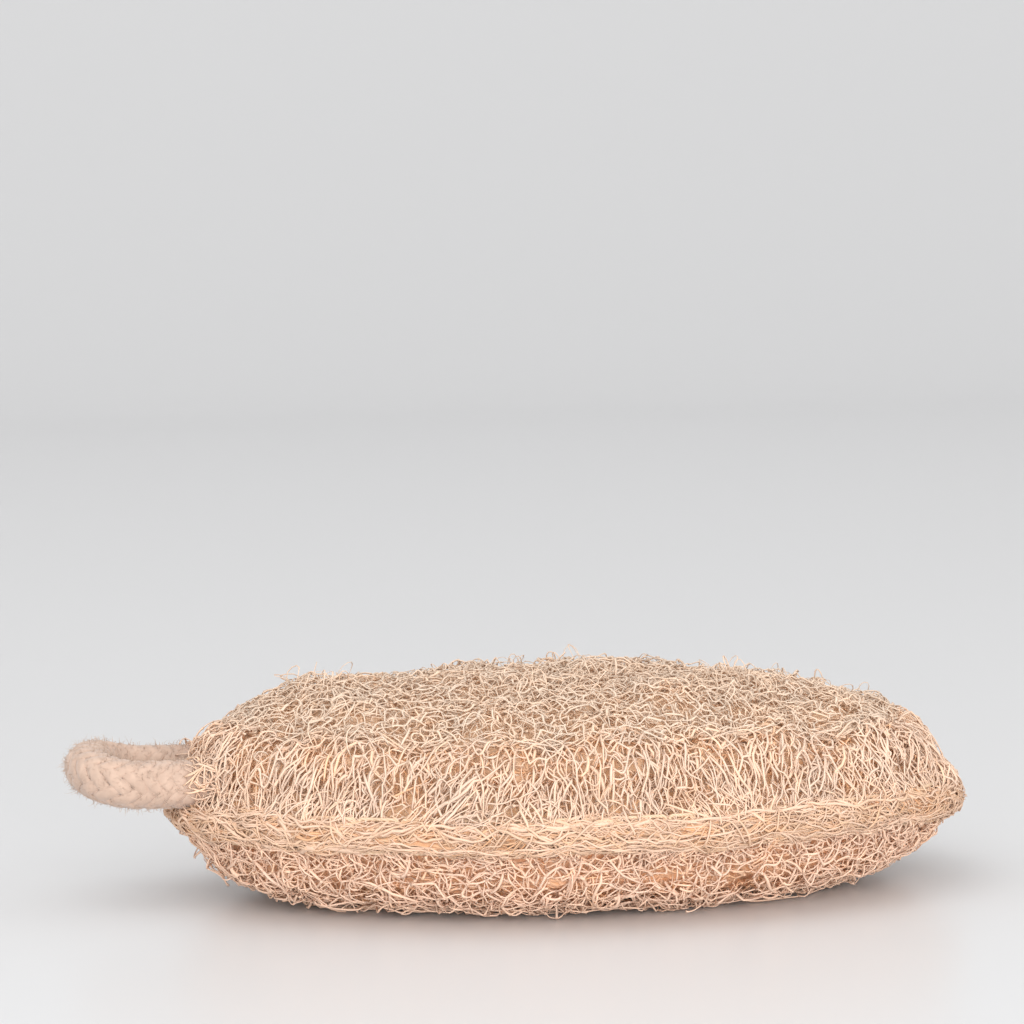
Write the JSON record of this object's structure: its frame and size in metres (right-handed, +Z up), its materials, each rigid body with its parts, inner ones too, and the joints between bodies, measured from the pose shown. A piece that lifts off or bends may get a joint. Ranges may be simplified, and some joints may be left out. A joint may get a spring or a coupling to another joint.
{
  "type": "loofah scrubber pad",
  "caption": "Oval loofah body scrubber: domed layers of open plant fibre sewn through a pressed rim, with a braided cotton hanging loop.",
  "frame": {"origin": "middle of the flat belly that the pad rests on", "axes": "+X along the pad's long side, away from the hanging loop; +Z up through the dome"},
  "size_m": [0.169, 0.098, 0.0402],
  "materials": {
    "loofah_net": "dry open net of straw-coloured plant fibre",
    "loofah_rim": "pressed bundle of long cream plant fibres",
    "cotton_braid": "soft undyed braided cotton, matt",
    "cotton_thread": "undyed twisted cotton thread"
  },
  "bodies": {
    "pad": {"upper_loofah_layer": "loofah_net", "middle_loofah_layer": "loofah_rim", "lower_loofah_layer": "loofah_net", "loop_tail_near": "cotton_braid", "loop_tail_far": "cotton_braid", "loop_tack_stitches": "cotton_thread", "rim_seam_needle_thread": "cotton_thread", "rim_seam_bobbin_thread": "cotton_thread"},
    "loop": {"hanging_loop_cord": "cotton_braid"}
  },
  "joints": [
    {"name": "loop_swing", "type": "hinge", "parent": "pad", "child": "loop", "pos_m": [-0.079, 0, 0.0233], "axis": [0, 1, 0], "range_deg": [-80, 80]}
  ]
}
